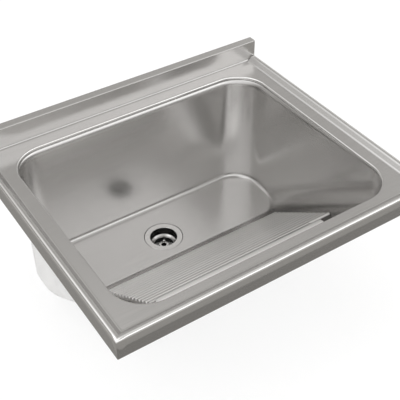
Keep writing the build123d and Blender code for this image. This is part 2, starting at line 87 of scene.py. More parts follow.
print("slope of the washboard:", round(float(np.degrees(SLOPE)), 2), "degrees")

# %% [markdown]
# ## Profiles and meshes
# A folded edge is drawn as corner points with a bend radius at each. Besides the arcs, two support
# points stand close to both ends of each straight run. They keep the smooth shading of a bend out of
# the flat sheet beside it, which matters on polished steel.

# %% Profiles and meshes


def rounded(points, radii, step=12.0, support=0.35):
    """Polyline with an arc of the given radius at each inner corner, as an array of points.

    The arc starts and ends at radius * tan(turn / 2) from the corner, and has one piece per step
    degrees of turn.
    """
    points = [np.array(p, float) for p in points]
    line = [points[0]]
    for a, b, c, radius in zip(points, points[1:], points[2:], radii):
        into, out = (b - a) / np.linalg.norm(b - a), (c - b) / np.linalg.norm(c - b)
        turn = np.arctan2(into[0] * out[1] - into[1] * out[0], into @ out)
        if radius <= 0:
            line += [b - into * support, b, b + out * support]
            continue
        reach = radius * abs(np.tan(turn / 2))
        start = b - into * reach
        side = np.sign(turn) * np.array([-into[1], into[0]])
        centre = start + side * radius
        line.append(start - into * support)
        count = max(2, int(np.ceil(abs(np.degrees(turn)) / step)))
        for angle in np.linspace(0, turn, count + 1):
            cos, sin = np.cos(angle), np.sin(angle)
            spoke = start - centre
            line.append(centre + [cos * spoke[0] - sin * spoke[1], sin * spoke[0] + cos * spoke[1]])
        line.append(b + out * (reach + support))
    line.append(points[-1])
    return np.array(line)


def sheet(grid, around=False, flip=False):
    """Vertices and quads of a surface given as an array of points, rows by columns by 3."""
    rows, columns = grid.shape[:2]
    i, j = np.meshgrid(np.arange(rows - 1), np.arange(columns if around else columns - 1), indexing="ij")
    right = (j + 1) % columns
    quads = np.stack([i * columns + j, i * columns + right, (i + 1) * columns + right, (i + 1) * columns + j], -1)
    quads = quads.reshape(-1, 4)
    return grid.reshape(-1, 3), quads[:, ::-1] if flip else quads


def piece(name, sheets, replaced=(), extra=(), weld=0.002, thickness=0.0):
    """One mesh object from several surfaces, welded where their edges meet."""
    starts = np.cumsum([0] + [len(points) for points, _ in sheets])
    faces = [face for (_, quads), start in zip(sheets, starts) for face in (quads + start).tolist()]
    mesh = bpy.data.meshes.new(name)
    mesh.from_pydata(np.vstack([points for points, _ in sheets]) * MM, [], faces + list(extra))
    work = bmesh.new()
    work.from_mesh(mesh)
    bmesh.ops.remove_doubles(work, verts=work.verts, dist=weld * MM)
    bmesh.ops.delete(work, geom=[vertex for vertex in work.verts if not vertex.link_faces], context="VERTS")
    work.to_mesh(mesh)
    work.free()
    mesh.shade_smooth()
    made = bpy.data.objects.new(name, mesh)
    bpy.context.scene.collection.objects.link(made)
    if thickness:
        solid = made.modifiers.new("sheet", "SOLIDIFY")
        solid.thickness = thickness * MM
        solid.offset = -1
    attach(made, "root")
    if replaced:
        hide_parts(*replaced)
    print(name, "vertices", len(mesh.vertices), "triangles", sum(len(p.vertices) - 2 for p in mesh.polygons))
    return made


# %% [markdown]
# ## Stations round the bowl
# Deck and bowl share the stations along the rounded outline of the opening, so that their edges meet
# point by point. Each station has a foot on the straight-sided inner rectangle and an outward
# direction: the outline grown by g is foot + (radius + g) * direction.

# %% Stations


def along(start, end, dense, gap, fine):
    """Stations from start to end: fine apart inside the dense ranges, gap apart elsewhere."""
    marks = [start]
    while marks[-1] < end - 1e-6:
        here = marks[-1] + 1e-6
        step = fine if any(a <= here < b for a, b in dense) else gap
        limits = [v for a, b in dense for v in (a, b) if v > here] + [end]
        marks.append(min(marks[-1] + step, min(limits)))
    return np.array(marks)


INNER_X = OPENING_X - CORNER_RADIUS
INNER_FRONT, INNER_BACK = OPENING_FRONT + CORNER_RADIUS, OPENING_BACK - CORNER_RADIUS
FIELD_SIDES = [(-192.0, -182.0), (136.0, 146.0), (182.0, 192.0)]
stations_x = along(-INNER_X, INNER_X, FIELD_SIDES, 7.0, 1.2)
stations_y = along(INNER_FRONT, INNER_BACK, [(INNER_FRONT, -246.0), (-199.0, -189.0)], 5.0, 1.15)
ARC_STEPS = 16


def outline_stations():
    """Feet and outward directions of all stations, counter-clockwise from the front left corner."""
    feet, ways = [], []
    corners = [(-INNER_X, INNER_FRONT, 180), (INNER_X, INNER_FRONT, 270)]
    corners += [(INNER_X, INNER_BACK, 0), (-INNER_X, INNER_BACK, 90)]
    sides = [[(x, INNER_FRONT) for x in stations_x[1:-1]], [(INNER_X, y) for y in stations_y[1:-1]]]
    sides += [[(x, INNER_BACK) for x in stations_x[-2:0:-1]], [(-INNER_X, y) for y in stations_y[-2:0:-1]]]
    for (x, y, start), side in zip(corners, sides):
        for angle in np.radians(start + np.linspace(0, 90, ARC_STEPS + 1)):
            feet.append((x, y))
            ways.append((np.cos(angle), np.sin(angle)))
        for point in side:
            feet.append(point)
            ways.append(ways[-1])
    return np.array(feet), np.array(ways)


feet, ways = outline_stations()
print("stations round the bowl:", len(feet))

# %% [markdown]
# ## Deck
# The pan runs from the rolled rim out to a rectangle. On three sides the bead's profile is swept
# along that rectangle with mitred corners, and at the back the box-folded upstand is a profile along
# X. The sheet gets its thickness from a Solidify modifier.

# %% Deck
BEAD = rounded(
    [(0, APRON_Z), (0, 0), (8.4, 0), (17.4, PAN_Z), (24.0, PAN_Z)], [4.0, 7.0, 7.0], step=9.0
)
BEAD = np.vstack([BEAD[:-1], [(22.0, PAN_Z)]])
UPSTAND = rounded(
    [(0, APRON_Z), (0, UPSTAND_Z), (UPSTAND_Y, UPSTAND_Z), (UPSTAND_Y, PAN_Z), (-23.0, PAN_Z)],
    [2.0, 2.0, 3.5],
)
PAN_INSET, PAN_BACK = 22.0, -23.0


def pan_edge():
    """Point on the pan's outer rectangle for each station: its foot pushed out to the rectangle."""
    x0, y0 = HALF_WIDTH - PAN_INSET, -DEPTH + PAN_INSET
    edge = np.empty_like(feet)
    for k, (foot, way) in enumerate(zip(feet, ways)):
        on_side = np.isclose(np.abs(way).max(), 1.0)
        grow_x = x0 - INNER_X
        grow_y = (INNER_FRONT - y0) if way[1] < 0 else (PAN_BACK - INNER_BACK)
        spread = way / np.abs(way).max()
        edge[k] = foot + (way * [grow_x, grow_y] if on_side else spread * [grow_x, grow_y])
    return edge


def pan_and_rim():
    """Rings from the pan's outer rectangle in to the opening and down the rolled rim."""
    edge = pan_edge()
    rim = rounded([(20.0, PAN_Z), (0, PAN_Z), (0, RIM_Z)], [RIM_RADIUS], step=9.0)
    rings = [np.column_stack([edge, np.full(len(edge), PAN_Z)])]
    near = feet + ways * (CORNER_RADIUS + 5.0)
    for share in (0.33, 0.66):
        ring = edge * (1 - share) + near * share
        rings.append(np.column_stack([ring, np.full(len(edge), PAN_Z)]))
    rings.append(np.column_stack([near, np.full(len(edge), PAN_Z)]))
    for grow, z in rim[1:]:
        ring = feet + ways * (CORNER_RADIUS + grow)
        rings.append(np.column_stack([ring, np.full(len(edge), z)]))
    return sheet(np.array(rings), around=True)


def side_values(points, axis, keep):
    """Sorted coordinates of the rectangle points that lie on one side."""
    return np.unique(np.round(points[keep][:, axis], 4))


def bead_sweep():
    """Bead profile along left, front and right: inset e moves each run in by e, mitred in front."""
    edge = pan_edge()
    x0, y0 = HALF_WIDTH - PAN_INSET, -DEPTH + PAN_INSET
    xs = side_values(edge, 0, edge[:, 1] < y0 + 0.01)
    ys = side_values(edge, 1, edge[:, 0] < -x0 + 0.01)
    run = (ys - y0) / (PAN_BACK - y0)
    sheets = []
    rows = []
    for inset, z in BEAD:
        front = -DEPTH + inset
        back = front + run[::-1] * (PAN_BACK - front)
        left = [(-HALF_WIDTH + inset, UPSTAND_Y, z)] + [(-HALF_WIDTH + inset, y, z) for y in back]
        middle = [(x * (HALF_WIDTH - inset) / x0, front, z) for x in xs[1:-1]]
        right = [(-x, y, z) for x, y, z in left[::-1]]
        rows.append(left + middle + right)
    sheets.append(sheet(np.array(rows)))
    return sheets


def upstand_sheets():
    """Upstand profile along X, with its stations at those of the pan's back edge."""
    edge = pan_edge()
    xs = side_values(edge, 0, edge[:, 1] > PAN_BACK - 0.01)
    xs = np.concatenate([[-HALF_WIDTH, -HALF_WIDTH + 0.4], xs, [HALF_WIDTH - 0.4, HALF_WIDTH]])
    grid = np.array([[(x, y, z) for x in xs] for y, z in UPSTAND])
    return sheet(grid, flip=True)


def upstand_ends(first):
    """Closing faces at both ends of the upstand, down to the bottom of the apron."""
    low = next(k for k, (y, z) in enumerate(UPSTAND) if y <= UPSTAND_Y + 1e-6 and z < 0)
    ring = np.vstack([UPSTAND[:low], [(UPSTAND_Y, APRON_Z)]])
    points, faces = [], []
    for side in (-1, 1):
        start = first + len(points)
        points += [(side * HALF_WIDTH, y, z) for y, z in ring]
        order = list(range(start, start + len(ring)))
        faces.append(order[::-1] if side < 0 else order)
    return np.array(points), faces


def build_deck():
    sheets = [pan_and_rim()] + bead_sweep() + [upstand_sheets()]
    total = sum(len(points) for points, _ in sheets)
    points, faces = upstand_ends(total)
    sheets.append((points, np.zeros((0, 4), int)))
    return piece("deck", sheets, ["worktop_deck"], faces, thickness=1.0)


deck = build_deck()

# %% [markdown]
# ## Bowl
# The walls go straight down. A bend of 10 mm turns them into the floor, and a ball of 48 mm that
# rolls along wall and slope rounds those two into each other. The bowl is the higher of these two
# surfaces, with the crease between them softened. The washboard is pushed out at right angles to
# the slope, and its right front corner has a notch.

# %% Bowl


def slope_height(y):
    """Height of the slope's plane in front-to-back section."""
    return SLOPE_TOP_Z + (OPENING_FRONT - y) * np.tan(SLOPE)


def floor_height(inset):
    """Floor, rising in a quarter circle where inset from the outline is less than its radius."""
    left = np.clip(FLOOR_RADIUS - inset, 0, FLOOR_RADIUS)
    return FLOOR_Z + FLOOR_RADIUS - np.sqrt(FLOOR_RADIUS**2 - left**2)


def inset_of(x, y):
    """Distance from the rounded outline of the opening inwards."""
    over_x = np.abs(x) - INNER_X
    over_y = np.abs(y - (INNER_FRONT + INNER_BACK) / 2) - (INNER_BACK - INNER_FRONT) / 2
    out = np.hypot(np.maximum(over_x, 0), np.maximum(over_y, 0)) + np.minimum(np.maximum(over_x, over_y), 0)
    return CORNER_RADIUS - out


def ball_path():
    """Plan points of the ball's centre when it rolls along the wall, 48 mm inside the outline."""
    inner = CORNER_RADIUS - SLOPE_RADIUS
    fine = np.arange(0, 1, 0.4 / 400)
    pieces = []
    for (x, y), start in zip(
        [(-INNER_X, INNER_FRONT), (INNER_X, INNER_FRONT), (INNER_X, INNER_BACK), (-INNER_X, INNER_BACK)],
        (180, 270, 0, 90),
    ):
        angle = np.radians(start + 90 * np.linspace(0, 1, 60)[:-1])
        pieces.append(np.column_stack([x + inner * np.cos(angle), y + inner * np.sin(angle)]))
        turn = np.radians(start + 90)
        begin = np.array([x + inner * np.cos(turn), y + inner * np.sin(turn)])
        ahead = np.array([-np.sin(turn), np.cos(turn)])
        length = 2 * INNER_X if start in (180, 0) else INNER_BACK - INNER_FRONT
        pieces.append(begin + ahead * (fine * length)[:, None])
    return np.vstack(pieces)


PATH = ball_path()
PATH_Z = slope_height(PATH[:, 1]) + SLOPE_RADIUS / np.cos(SLOPE)


def wall_height(points, block=400):
    """Lowest underside of the balls along the wall over each plan point, refined by a parabola.

    A ball's underside is its centre's height less the root of radius squared less distance squared.
    Point by ball tables are worked out a block of rows at a time.
    """
    heights = []
    for part in np.array_split(points, max(1, len(points) // block)):
        apart = ((part[:, None, :] - PATH[None, :, :]) ** 2).sum(2)
        left = SLOPE_RADIUS**2 - apart
        under = np.where(left > -1, PATH_Z - np.sqrt(np.maximum(left, 0)), 1e3)
        rows, low = np.arange(len(part)), under.argmin(1)
        a, b, c = under[rows, low - 1], under[rows, low], under[rows, (low + 1) % len(PATH)]
        bend = a - 2 * b + c
        fair = (bend > 0) & (bend < 100)
        heights.append(b - np.where(fair, (c - a) ** 2 / (8 * np.where(fair, bend, 1)), 0))
    return np.concatenate(heights)


def drain_drop(x, y):
    """Depth of the drain's recess at a plan point: a step with small radii, and 0 outside it."""
    away = np.hypot(x, y - DRAIN_Y)
    share = np.clip((RECESS_RADIUS + 0.6 - away) / 1.2, 0, 1)
    return RECESS_DEPTH * share * share * (3 - 2 * share)


def rib_height(s):
    """Height of the ribs at a distance s up the slope: flat crests and a valley once each pitch.

    Across its width, the valley is as deep as half of one plus the cosine of the way to its edge.
    """
    away = np.abs((s / RIB_PITCH) % 1 - 0.5) * RIB_PITCH
    turn = np.pi * np.minimum(away / (VALLEY_WIDTH / 2), 1)
    return FIELD_HEIGHT - RIB_DEPTH * (1 + np.cos(turn)) / 2


def mound_height(inside):
    """Height of the field's plain form at a distance inside its outline: a steep wall, rounded."""
    top = FIELD_HEIGHT + 1.5
    wall = np.maximum(inside, 0) * np.tan(FIELD_WALL)
    end = top / np.tan(FIELD_WALL) + FIELD_EDGE_RADIUS * np.tan(FIELD_WALL / 2)
    arc = top - FIELD_EDGE_RADIUS + np.sqrt(np.maximum(FIELD_EDGE_RADIUS**2 - (end - inside) ** 2, 0))
    start = end - FIELD_EDGE_RADIUS * np.sin(FIELD_WALL)
    return np.where(inside <= start, wall, np.where(inside >= end, top, arc))


def soft_min(a, b, width):
    """Smaller of two values, with the corner between them rounded over width."""
    share = np.clip(0.5 + (b - a) / (2 * width), 0, 1)
    return b + (a - b) * share - width * share * (1 - share)


def field_height(x, y):
    """Height of the washboard over its slope at a plan point."""
    s = (y - OPENING_FRONT) / np.cos(SLOPE)
    middle, half = (FIELD_TOP + FIELD_END) / 2, (FIELD_END - FIELD_TOP) / 2
    over_x = np.abs(x) - (FIELD_HALF_WIDTH - FIELD_CORNER)
    over_s = np.abs(s - middle) - (half - FIELD_CORNER)
    outside = np.hypot(np.maximum(over_x, 0), np.maximum(over_s, 0)) + np.minimum(np.maximum(over_x, over_s), 0)
    notch = np.hypot(np.maximum(NOTCH_X - x, 0), np.maximum(s - NOTCH_END, 0))
    inside = np.minimum(FIELD_CORNER - outside, notch)
    height = soft_min(mound_height(inside), rib_height(s - middle + RIB_PITCH / 2), 1.2)
    return np.maximum(height, 0) * (inside > 0)


def lifted(points):
    """Bowl surface over plan points that lie inside the outline."""
    x, y = points[:, 0], points[:, 1]
    inset = inset_of(x, y)
    slope = slope_height(y)
    near = (inset < SLOPE_RADIUS) & (slope > FLOOR_Z - 2 * SLOPE_RADIUS)
    slope[near] = wall_height(points[near])
    z = -soft_min(-floor_height(inset), -slope, CREASE)
    up = field_height(x, y)
    z = z + up * np.cos(SLOPE) - drain_drop(x, y)
    return np.column_stack([x, y + up * np.sin(SLOPE), z])


DRAIN_BLOCK = (-54.0, 54.0, -187.0, -86.0)
INSETS = np.array([0.0, 0.06, 0.2, 0.45, 0.8, 1.25, 1.8, 2.5, 3.3, 4.2, 5.2, 6.3, 7.5, 8.7])
INSETS = np.concatenate([INSETS, np.arange(10.0, CORNER_RADIUS - 0.8, 1.7), [CORNER_RADIUS]])


def bowl_rings():
    """Rings down the wall, then inwards over the rounding to the sharp inner rectangle."""
    rings = [lifted(feet + ways * (CORNER_RADIUS - inset)) for inset in INSETS]
    wall = [rings[0].copy() for _ in range(4)]
    for k, share in enumerate((0.0, 0.06, 0.94)):
        wall[k][:, 2] = RIM_Z + (rings[0][:, 2] - RIM_Z) * share
    return np.array(wall[:3] + rings)


def bowl_middle():
    """Grid over the inner rectangle, on the same stations as the innermost ring."""
    x, y = np.meshgrid(stations_x, stations_y)
    points = lifted(np.column_stack([x.ravel(), y.ravel()]))
    return points.reshape(len(stations_y), len(stations_x), 3)


def outside_block(points, quads):
    """Quads whose middle lies outside the square that the drain's own rings fill."""
    middle = points[quads].mean(1)
    x0, x1, y0, y1 = BLOCK
    keep = (middle[:, 0] < x0) | (middle[:, 0] > x1) | (middle[:, 1] < y0) | (middle[:, 1] > y1)
    keep |= middle[:, 2] > FLOOR_Z + 60
    return points, quads[keep]


rings = bowl_rings()
middle = bowl_middle()
all_y = np.unique(np.round(np.concatenate([stations_y, OPENING_BACK - INSETS]), 4))


def nearest(values, wanted):
    return float(values[np.abs(values - wanted).argmin()])


BLOCK = (
    nearest(stations_x, DRAIN_BLOCK[0]),
    nearest(stations_x, DRAIN_BLOCK[1]),
    nearest(all_y, DRAIN_BLOCK[2]),
    nearest(all_y, DRAIN_BLOCK[3]),
)


def drain_rings():
    """Rings from the square block in to the drain hole: square first, then round."""
    x0, x1, y0, y1 = BLOCK
    xs = stations_x[(stations_x >= x0 - 1e-6) & (stations_x <= x1 + 1e-6)]
    ys = all_y[(all_y >= y0 - 1e-3) & (all_y <= y1 + 1e-3)]
    square = [(x, y0) for x in xs[:-1]] + [(x1, y) for y in ys[:-1]]
    square += [(x, y1) for x in xs[:0:-1]] + [(x0, y) for y in ys[:0:-1]]
    square = np.array(square)
    angle = np.arctan2(square[:, 1] - DRAIN_Y, square[:, 0])
    ways_in = np.column_stack([np.cos(angle), np.sin(angle)])
    centre = np.array([0.0, DRAIN_Y])
    rounds = [square * (1 - t) + (centre + 44.0 * ways_in) * t for t in (0.0, 0.35, 0.7, 1.0)]
    steps = np.array([1.5, 0.7, 0.5, 0.3, 0.1, -0.1, -0.3, -0.5, -0.7, -1.5, -5.0])
    radii = [*(RECESS_RADIUS + steps), DRAIN_HOLE]
    rounds += [centre + radius * ways_in for radius in radii]
    return sheet(np.array([lifted(ring) for ring in rounds]), around=True)


def build_bowl():
    sheets = [
        outside_block(*sheet(rings, around=True)),
        outside_block(*sheet(middle)),
        drain_rings(),
    ]
    return piece("bowl", sheets, ["wash_bowl"], thickness=1.0)


bowl = build_bowl()

# %% [markdown]
# ## Strainer
# The strainer is a turned cup with a wide flange, a conical ring at its foot, three spokes and a hollow
# boss for the clamp screw. The turned parts are profiles of radius and height.

# %% Strainer


def turned(profile, count=96):
    """Surface of revolution about the drain's axis from (radius, height) points."""
    angle = np.linspace(0, 2 * np.pi, count, endpoint=False)
    grid = np.array([
        np.column_stack([r * np.cos(angle), DRAIN_Y + r * np.sin(angle), np.full(count, z)])
        for r, z in profile
    ])
    return sheet(grid, around=True)


def spoke(turn, width, inner, outer, z0, z1, bevel=0.5):
    """Radial bar with bevelled upper edges, as a section along a line."""
    section = np.array([
        (-width / 2, z0), (-width / 2, z1 - bevel), (-width / 2 + bevel, z1),
        (width / 2 - bevel, z1), (width / 2, z1 - bevel), (width / 2, z0),
    ])
    cos, sin = np.cos(turn), np.sin(turn)
    middle = np.repeat([section.mean(0)], len(section), 0)
    rows = []
    for radius, across in ((inner, middle), (inner, section), (outer, section), (outer, middle)):
        x, y = radius * cos - across[:, 0] * sin, radius * sin + across[:, 0] * cos
        rows.append(np.column_stack([x, DRAIN_Y + y, across[:, 1]]))
    return sheet(np.array(rows), around=True, flip=True)


def build_strainer():
    top, grid = -262.3, -284.0
    outside = [(37.0, -265.5), (38.2, -265.5), (38.2, top), (26.8, top), (26.8, -280.3)]
    outside += [(22.0, grid), (20.8, grid - 0.4), (20.8, grid - 1.5), (22.4, grid - 1.5), (28.0, -280.8)]
    outside += [(28.0, top - 1.2), (37.0, top - 1.2), (37.0, -265.5)]
    radii = [0.3, 0.8, 1.3, 1.2, 0.6, 0.3, 0.3, 0.5, 1.5, 0.5, 0.3]
    shell = turned(rounded(outside, radii, step=15.0, support=0.1))
    boss = [(7.0, -297.0), (10.8, -297.0), (10.8, grid), (5.05, grid), (5.05, -295.0), (3.25, -295.0)]
    boss += [(3.25, -297.0), (7.0, -297.0)]
    middle_piece = turned(rounded(boss, [0.5, 1.0, 0.6, 0.2, 0.2, 0.2], step=18.0, support=0.1), 48)
    spokes = [
        spoke(np.radians(56.3 + 120 * k), 5.0, 8.0, 21.8, grid - 1.5, grid) for k in range(3)
    ]
    return piece("strainer", [shell, middle_piece] + spokes, ["strainer_cup"])


strainer = build_strainer()

# %% [markdown]
# ## Materials
# A shading value is one socket of a node tree. Python's operators on it add Math nodes, and one
# method adds any other node from its type, settings and inputs. Each material varies its colour,
# roughness and surface normal over the object.

# %% Shading values


class Shade:
    """One value in a material's node tree. Arithmetic on it adds the nodes that compute it."""

    def __init__(self, tree, socket=None):
        self.tree, self.socket = tree, socket

    def node(self, kind, settings=None, values=None, out=0):
        """Any node, from its type, its settings and the values or links of its inputs."""
        made = self.tree.nodes.new(kind)
        for name, value in (settings or {}).items():
            setattr(made, name, value)
        for key, value in (values or {}).items():
            if isinstance(value, Shade):
                self.tree.links.new(value.socket, made.inputs[key])
            else:
                made.inputs[key].default_value = value
        return Shade(self.tree, made.outputs[out])

    def maths(self, operation, *others, clamp=False):
        values = {k: v for k, v in enumerate((self,) + others)}
        return self.node("ShaderNodeMath", {"operation": operation, "use_clamp": clamp}, values)

    def __add__(self, other):
        return self.maths("ADD", other)

    def __sub__(self, other):
        return self.maths("SUBTRACT", other)

    def __mul__(self, other):
        return self.maths("MULTIPLY", other)

    def __truediv__(self, other):
        return self.maths("DIVIDE", other)

    def __rsub__(self, other):
        return (self * -1.0) + other

    __radd__ = __add__
    __rmul__ = __mul__

    def spread(self, low, high, to_low=0.0, to_high=1.0):
        """Value moved linearly from one range to another and held inside it."""
        values = {"Value": self, 1: low, 2: high, 3: to_low, 4: to_high}
        return self.node("ShaderNodeMapRange", {"clamp": True}, values)

    def colour(self, first, second):
        """Colour that goes from first to second as the value goes from 0 to 1."""
        values = {0: self, 6: (*first, 1.0), 7: (*second, 1.0)}
        return self.node("ShaderNodeMix", {"data_type": "RGBA"}, values, out=2)

    def over(self, base, colour):
        """The base colour where the value is 0, and the other colour where it is 1."""
        values = {0: self, 6: base, 7: (*colour, 1.0)}
        return self.node("ShaderNodeMix", {"data_type": "RGBA"}, values, out=2)

    def parts(self, vector):
        """The three coordinates of a vector."""
        split = self.node("ShaderNodeSeparateXYZ", values={0: vector}).socket.node
        return [Shade(self.tree, socket) for socket in split.outputs]

    def place(self, stretch=(1.0, 1.0, 1.0)):
        """Object coordinates, stretched along the axes."""
        coordinates = self.node("ShaderNodeTexCoord", out=3)
        settings = {"operation": "MULTIPLY"}
        return self.node("ShaderNodeVectorMath", settings, {0: coordinates, 1: stretch})

    def noise(self, stretch, detail=3.0, rough=0.55):
        """Cloudy value around 0.5, with its own scale along each axis."""
        values = {"Vector": self.place(stretch), "Scale": 1.0, "Detail": detail, "Roughness": rough}
        return self.node("ShaderNodeTexNoise", values=values)


def material(name, dress):
    """Material whose look a function writes on the inputs of its Principled shader."""
    made = bpy.data.materials.new(name)
    made.use_nodes = True
    tree = made.node_tree
    shader = tree.nodes["Principled BSDF"]
    for key, value in dress(Shade(tree)).items():
        if isinstance(value, Shade):
            tree.links.new(value.socket, shader.inputs[key])
        else:
            shader.inputs[key].default_value = value
    return made


def bump(height, distance):
    """Normal from a height value: the surface moves by up to distance metres."""
    return height.node("ShaderNodeBump", values={"Height": height, "Distance": distance, "Strength": 1.0})


# %% [markdown]
# ## Steel
# Rolled sheet has fine parallel marks. A noise that is stretched a hundred times along one axis gives
# them, and it drives roughness, colour and a bump of some hundredths of a millimetre. A second,
# cloudy noise stands for the wear of use.

# %% Steel


def steel(lines, cloud=7.0, grey=0.62, tint=(1.0, 0.986, 0.97), rough=0.25, depth=0.000003, special=None):
    """Brushed steel with marks across the axes that lines scales up.

    The special places, from a function that lists masks with a colour and a change of roughness, are
    mixed in on top.
    """

    def dress(s):
        marks = s.noise(lines, detail=4.0, rough=0.65)
        fine = s.noise(tuple(3.1 * v for v in lines), detail=2.0)
        patches = s.noise((cloud, cloud, cloud), detail=4.0)
        mixed = (marks * 0.5 + fine * 0.3 + patches * 0.2).spread(0.3, 0.7)
        colour = mixed.colour(*(tuple(grey * share * c for c in tint) for share in (0.93, 1.07)))
        roughness = marks * 0.06 + patches * 0.06 + (rough - 0.06)
        for mask, other, change in special(s) if special else ():
            colour = mask.over(colour, other)
            roughness = mask * change + roughness
        return {
            "Base Color": colour,
            "Metallic": 1.0,
            "Roughness": roughness,
            "Normal": bump(marks + fine * 0.5, depth),
        }

    return dress


def painted_edge_highlight(s):
    """Outer top edge and rolled rim of the deck, lightened in colour as a painted highlight, with lower roughness."""
    x, y, z = s.parts(s.place())
    x = x.maths("ABSOLUTE")
    edge = x.spread(0.2945, 0.2965).maths("MAXIMUM", y.spread(-0.5085, -0.5105)) * z.spread(-0.005, -0.003)
    edge = edge * z.spread(0.004, 0.002)
    rim = z.spread(-0.0091, -0.0100) * x.spread(0.275, 0.27) * y.spread(-0.49, -0.485) * y.spread(-0.03, -0.035)
    # Painted highlight: a near-white colour on the outer top edge and the rolled rim.
    return [(edge.maths("MAXIMUM", rim), (0.93, 0.925, 0.915), -0.06)]


def painted_field_light_and_notch_shade(s):
    """Washboard field lightened in colour as painted light, most of all on its left half, and its notch darkened as
    painted shade.
    """
    x, y, z = s.parts(s.place())
    lift = z + (y * 1.0 + 0.477) * float(np.tan(SLOPE)) + 0.0517
    field = lift.spread(0.004, 0.008) * x.maths("ABSOLUTE").spread(0.196, 0.190) * y.spread(-0.236, -0.244)
    field = field * y.spread(-0.462, -0.452) * x.spread(-0.10, 0.19, 1.0, 0.25)
    notch = x.spread(0.1405, 0.1425) * x.spread(0.194, 0.192) * y.spread(-0.3985, -0.3995)
    notch = notch * y.spread(-0.4065, -0.4050)
    # Painted light on the field and painted shade in the notch, both by colour; the roughness changes are real.
    return [(field, (0.90, 0.89, 0.88), 0.14), (notch, (0.10, 0.095, 0.09), 0.1)]


def painted_throat_shade(s):
    """Throat of the strainer below its flange and above its grid, the hole below and, at half strength, the grid's
    outer part, darkened as painted shade.
    """
    x, y, z = s.parts(s.place())
    away = (x * x + (y + DRAIN_Y * -MM) * (y + DRAIN_Y * -MM)).maths("SQRT")
    throat = z.spread(-0.2630, -0.2645) * z.spread(-0.2806, -0.2796)
    hole = z.spread(-0.2843, -0.2850)
    grid = z.spread(-0.2826, -0.2832) * away.spread(0.0112, 0.0116)
    mask = throat.maths("MAXIMUM", hole).maths("MAXIMUM", grid * 0.5)
    # Painted shade: a near-black colour in the throat, the hole and the grid.
    return [(mask, (0.06, 0.059, 0.057), 0.05)]


def sprayed(s):
    """Light sprayed coat on the outside of the bowl: fine grain and slow thickness changes."""
    grain = s.noise((900.0, 900.0, 900.0), detail=2.0)
    patches = s.noise((14.0, 14.0, 14.0), detail=3.0)
    tone = (grain * 0.4 + patches * 0.6).spread(0.35, 0.65)
    return {
        "Base Color": tone.colour((0.72, 0.72, 0.72), (0.80, 0.80, 0.795)),
        "Roughness": grain * 0.2 + 0.55,
        "Normal": bump(grain, 0.00008),
    }


def plastic_with_painted_bore_shade(s):
    """White plastic of the waste body, with the inside of its bore darkened as painted shade."""
    look = matt((0.70, 0.70, 0.68), (0.78, 0.78, 0.76), 0.38, 600.0)(s)
    x, y, z = s.parts(s.place())
    y = y + DRAIN_Y * -MM
    away = (x * x + y * y).maths("SQRT")
    inside = (away.spread(0.0306, 0.0303) * z.spread(-0.3055, -0.3050)).maths("MAXIMUM", away.spread(0.0206, 0.0202))
    # Painted shade: a near-black colour inside the bore, seen through the strainer's slots.
    look["Base Color"] = inside.over(look["Base Color"], (0.012, 0.012, 0.011))
    return look


def matt(dark, light, rough, grain, depth=0.00003):
    """Rubber, plastic or zinc: two close colours mixed by a fine grain."""

    def dress(s):
        fine = s.noise((grain, grain, grain), detail=3.0)
        patches = s.noise((grain / 12, grain / 12, grain / 12), detail=2.0)
        tone = (fine * 0.5 + patches * 0.5).spread(0.3, 0.7)
        return {
            "Base Color": tone.colour(dark, light),
            "Roughness": fine * 0.15 + rough,
            "Normal": bump(fine, depth),
        }

    return dress


def metal(dark, light, rough, grain, depth=0.00002):
    """Plain metal with a spangled or turned surface."""

    def dress(s):
        look = matt(dark, light, rough, grain, depth)(s)
        look["Metallic"] = 1.0
        return look

    return dress


# The deck carries a painted highlight, the bowl painted light and painted shade on its washboard, and the strainer
# painted shade in its throat.
deck_steel = material("deck steel", steel((9.0, 600.0, 600.0), special=painted_edge_highlight))
plain_steel = material("plain steel", steel((9.0, 600.0, 600.0)))
bowl_steel = material("bowl steel", steel((9.0, 600.0, 600.0), rough=0.25, depth=0.000002, special=painted_field_light_and_notch_shade))
bowl_coat = material("bowl coat", sprayed)
waste_steel = material("waste steel", steel((260.0, 260.0, 260.0), cloud=40.0, grey=0.66, rough=0.2, special=painted_throat_shade))
looks = {
    "waste_steel": waste_steel,
    "waste_plastic": material("waste plastic", plastic_with_painted_bore_shade),
    "seal_rubber": material("seal rubber", matt((0.012, 0.012, 0.012), (0.03, 0.03, 0.03), 0.5, 900.0)),
    "insert_brass": material("insert brass", metal((0.55, 0.38, 0.16), (0.68, 0.50, 0.24), 0.25, 500.0)),
    "pad_rubber": material("pad rubber", matt((0.018, 0.018, 0.02), (0.04, 0.04, 0.043), 0.6, 300.0, 0.0001)),
    "galvanised": material("galvanised", metal((0.42, 0.44, 0.46), (0.56, 0.58, 0.60), 0.36, 120.0)),
    "rivet_aluminium": material("rivet aluminium", metal((0.60, 0.60, 0.61), (0.72, 0.72, 0.73), 0.3, 400.0)),
    "screw_steel": material("screw steel", metal((0.48, 0.48, 0.46), (0.60, 0.60, 0.57), 0.28, 500.0)),
}
slots = {s["node"]: s["material_slot"] for s in frame["record"]["subparts"]}
for name, node in frame["nodes"].items():
    node.data.materials.clear()
    node.data.materials.append(looks.get(slots[name], plain_steel))
deck.data.materials.append(deck_steel)
bowl.data.materials.append(bowl_steel)
bowl.data.materials.append(bowl_coat)
bowl.modifiers["sheet"].material_offset = 1
strainer.data.materials.append(waste_steel)
print("materials:", len(bpy.data.materials))

# %% [markdown]
# ## Floor, cards and light
# The sink stands on a pale floor and against a white surround. Polished steel shows what stands
# around it, so grey cards that only reflections see stand where a darker room would be. The sky
# brightens towards the horizon behind the sink and overhead.

# %% Stage


